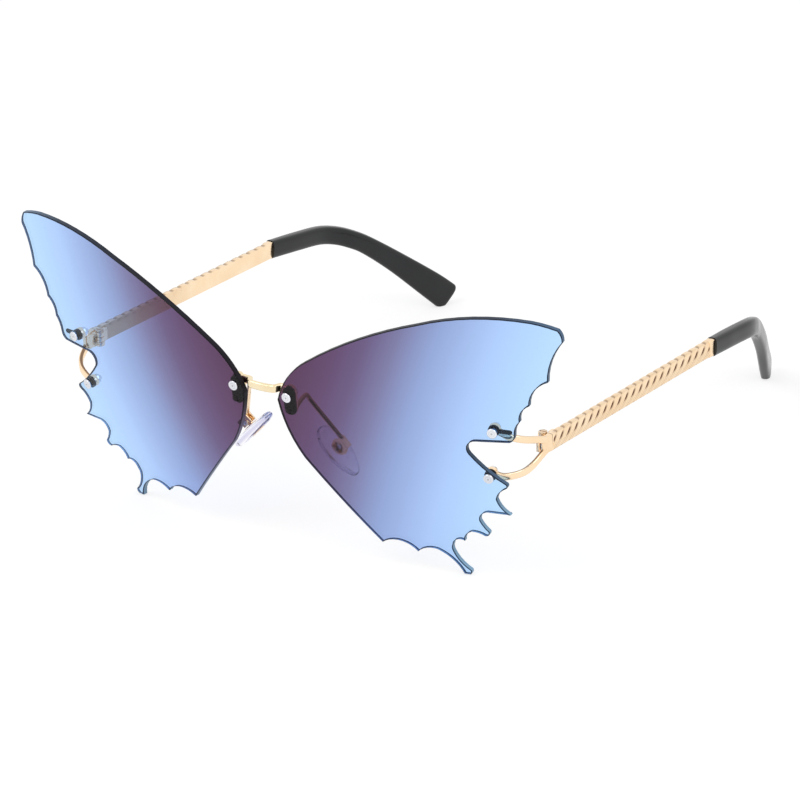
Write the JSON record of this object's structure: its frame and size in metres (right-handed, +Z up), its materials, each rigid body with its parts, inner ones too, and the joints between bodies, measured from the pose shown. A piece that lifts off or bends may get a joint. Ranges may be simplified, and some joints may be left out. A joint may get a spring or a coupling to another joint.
{
  "type": "butterfly sunglasses",
  "caption": "Rimless sunglasses with wing-shaped tinted lenses, a gold bridge and end pieces, rope-relief temples with black tips and clear nose pads.",
  "frame": {"origin": "on the ground in the mirror plane, under the middle of the bounding box, with the sunglasses standing on the two lens tails and the two temple tips", "axes": "+X to the wearer's left, +Y back along the temples to the ears, +Z up"},
  "size_m": [0.1498, 0.1451, 0.0682],
  "materials": {
    "lens": "polished polycarbonate, plum to pale blue gradient tint",
    "gold_metal": "polished pale gold plating",
    "screw_metal": "bright steel",
    "bush_plastic": "black nylon",
    "clear_silicone": "clear silicone",
    "tip_plastic": "glossy charcoal black"
  },
  "bodies": {
    "front": {"left_lens": "lens", "right_lens": "lens", "bridge_bar": "gold_metal", "bridge_screws": "screw_metal", "bridge_bushes": "bush_plastic", "bridge_nuts": "screw_metal", "left_pad_arm": "gold_metal", "right_pad_arm": "gold_metal", "left_pad_box": "gold_metal", "right_pad_box": "gold_metal", "left_pad_screw": "screw_metal", "right_pad_screw": "screw_metal", "left_end_piece": "gold_metal", "right_end_piece": "gold_metal", "lens_screws": "screw_metal", "lens_bushes": "bush_plastic", "lens_nuts": "screw_metal", "left_front_leaf": "gold_metal", "right_front_leaf": "gold_metal", "left_hinge_screw": "screw_metal", "right_hinge_screw": "screw_metal"},
    "left_temple": {"left_temple_bar": "gold_metal", "left_temple_leaf": "gold_metal", "left_tip_core": "screw_metal", "left_temple_tip": "tip_plastic"},
    "right_temple": {"right_temple_bar": "gold_metal", "right_temple_leaf": "gold_metal", "right_tip_core": "screw_metal", "right_temple_tip": "tip_plastic"},
    "left_pad": {"left_nose_pad": "clear_silicone", "left_pad_core": "gold_metal"},
    "right_pad": {"right_nose_pad": "clear_silicone", "right_pad_core": "gold_metal"}
  },
  "joints": [
    {"name": "left_temple_fold", "type": "hinge", "parent": "front", "child": "left_temple", "pos_m": [0.06169, -0.04959, 0.03316], "axis": [0, 0, 1], "range_deg": [0, 88]},
    {"name": "right_temple_fold", "type": "hinge", "parent": "front", "child": "right_temple", "pos_m": [-0.06169, -0.04959, 0.03316], "axis": [0, 0, -1], "range_deg": [0, 81]},
    {"name": "left_pad_rock", "type": "hinge", "parent": "front", "child": "left_pad", "pos_m": [0.01324, -0.05923, 0.02575], "axis": [0.0739, 0.9945, 0.0739], "range_deg": [-6, 6]},
    {"name": "right_pad_rock", "type": "hinge", "parent": "front", "child": "right_pad", "pos_m": [-0.01324, -0.05923, 0.02575], "axis": [-0.0739, 0.9945, 0.0739], "range_deg": [-6, 6]}
  ]
}
